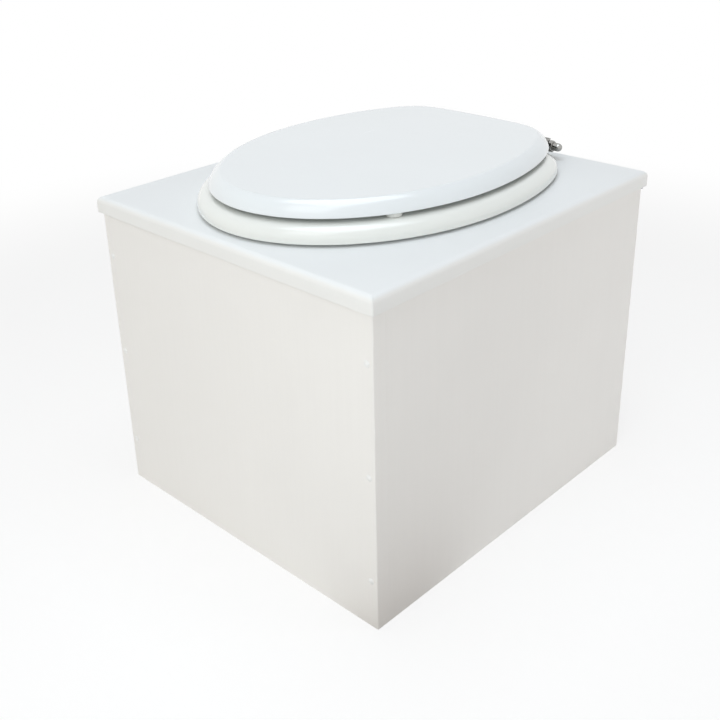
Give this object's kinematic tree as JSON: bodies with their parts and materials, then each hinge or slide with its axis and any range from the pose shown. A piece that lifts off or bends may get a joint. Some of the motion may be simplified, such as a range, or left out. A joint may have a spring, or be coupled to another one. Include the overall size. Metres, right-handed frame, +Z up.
{
  "type": "composting toilet",
  "caption": "Dry toilet built as a white box with a lift-up top board, a hinged seat ring and lid, and a bucket inside under a splash guard.",
  "frame": {"origin": "on the floor, at the middle of the box's footprint", "axes": "+X to the right as seen from the front, -Y towards the front, +Z up"},
  "size_m": [0.46, 0.51, 0.448],
  "materials": {
    "white_panel": "satin white paint on board, with a fine upright streak",
    "white_board": "satin white laminate with a rounded edge",
    "seat_lacquer": "glossy white lacquer on moulded wood",
    "plywood": "sealed plywood",
    "pine": "planed pine",
    "white_screw": "white painted screw heads",
    "steel": "plain steel",
    "chrome": "polished chrome plating",
    "white_rubber": "soft white rubber",
    "bucket_plastic": "dark moulded plastic",
    "grip_plastic": "black plastic"
  },
  "bodies": {
    "cabinet": {"front_panel": "white_panel", "back_panel": "white_panel", "left_side_panel": "white_panel", "right_side_panel": "white_panel", "base_panel": "plywood", "left_base_cleat": "pine", "right_base_cleat": "pine", "front_panel_screws": "white_screw", "back_panel_screws": "white_screw", "cleat_screws": "steel", "base_screws": "steel", "back_hinge_fixed_leaf": "steel", "back_hinge_pin": "steel", "back_hinge_lower_screws": "steel"},
    "top_board": {"top_board": "white_board", "back_hinge_moving_leaf": "steel", "back_hinge_upper_screws": "steel", "splash_guard": "steel", "splash_guard_screws": "steel", "left_hinge_post": "chrome", "right_hinge_post": "chrome", "post_gaskets": "white_rubber", "post_studs": "steel", "stud_washers": "steel", "stud_nuts": "steel", "seat_hinge_rod": "chrome", "hinge_cap_nuts": "chrome"},
    "seat": {"seat_ring": "seat_lacquer", "ring_bumpers": "white_rubber", "left_ring_hinge": "chrome", "right_ring_hinge": "chrome", "ring_hinge_screws": "steel"},
    "lid": {"seat_lid": "seat_lacquer", "lid_bumpers": "white_rubber", "left_lid_hinge": "chrome", "right_lid_hinge": "chrome", "lid_hinge_screws": "steel"},
    "bucket": {"bucket": "bucket_plastic"},
    "bail": {"bucket_bail": "steel"},
    "grip": {"bail_grip": "grip_plastic"}
  },
  "joints": [
    {"name": "board_lift", "type": "hinge", "parent": "cabinet", "child": "top_board", "pos_m": [0, 0.2525, 0.3815], "axis": [-1, 0, 0], "range_deg": [0, 95]},
    {"name": "seat_lift", "type": "hinge", "parent": "top_board", "child": "seat", "pos_m": [0, 0.224, 0.42], "axis": [-1, 0, 0], "range_deg": [0, 100]},
    {"name": "lid_lift", "type": "hinge", "parent": "seat", "child": "lid", "pos_m": [0, 0.224, 0.42], "axis": [1, 0, 0], "range_deg": [-100, 0]},
    {"name": "bucket_lift", "type": "slide", "parent": "cabinet", "child": "bucket", "axis": [0, 0, 1], "range_m": [0, 0.02]},
    {"name": "bail_swing", "type": "hinge", "parent": "bucket", "child": "bail", "pos_m": [0, -0.024, 0.32], "axis": [1, 0, 0], "range_deg": [0, 35]},
    {"name": "grip_spin", "type": "hinge", "parent": "bail", "child": "grip", "pos_m": [0, 0.13362, 0.229], "axis": [1, 0, 0], "continuous": true}
  ]
}
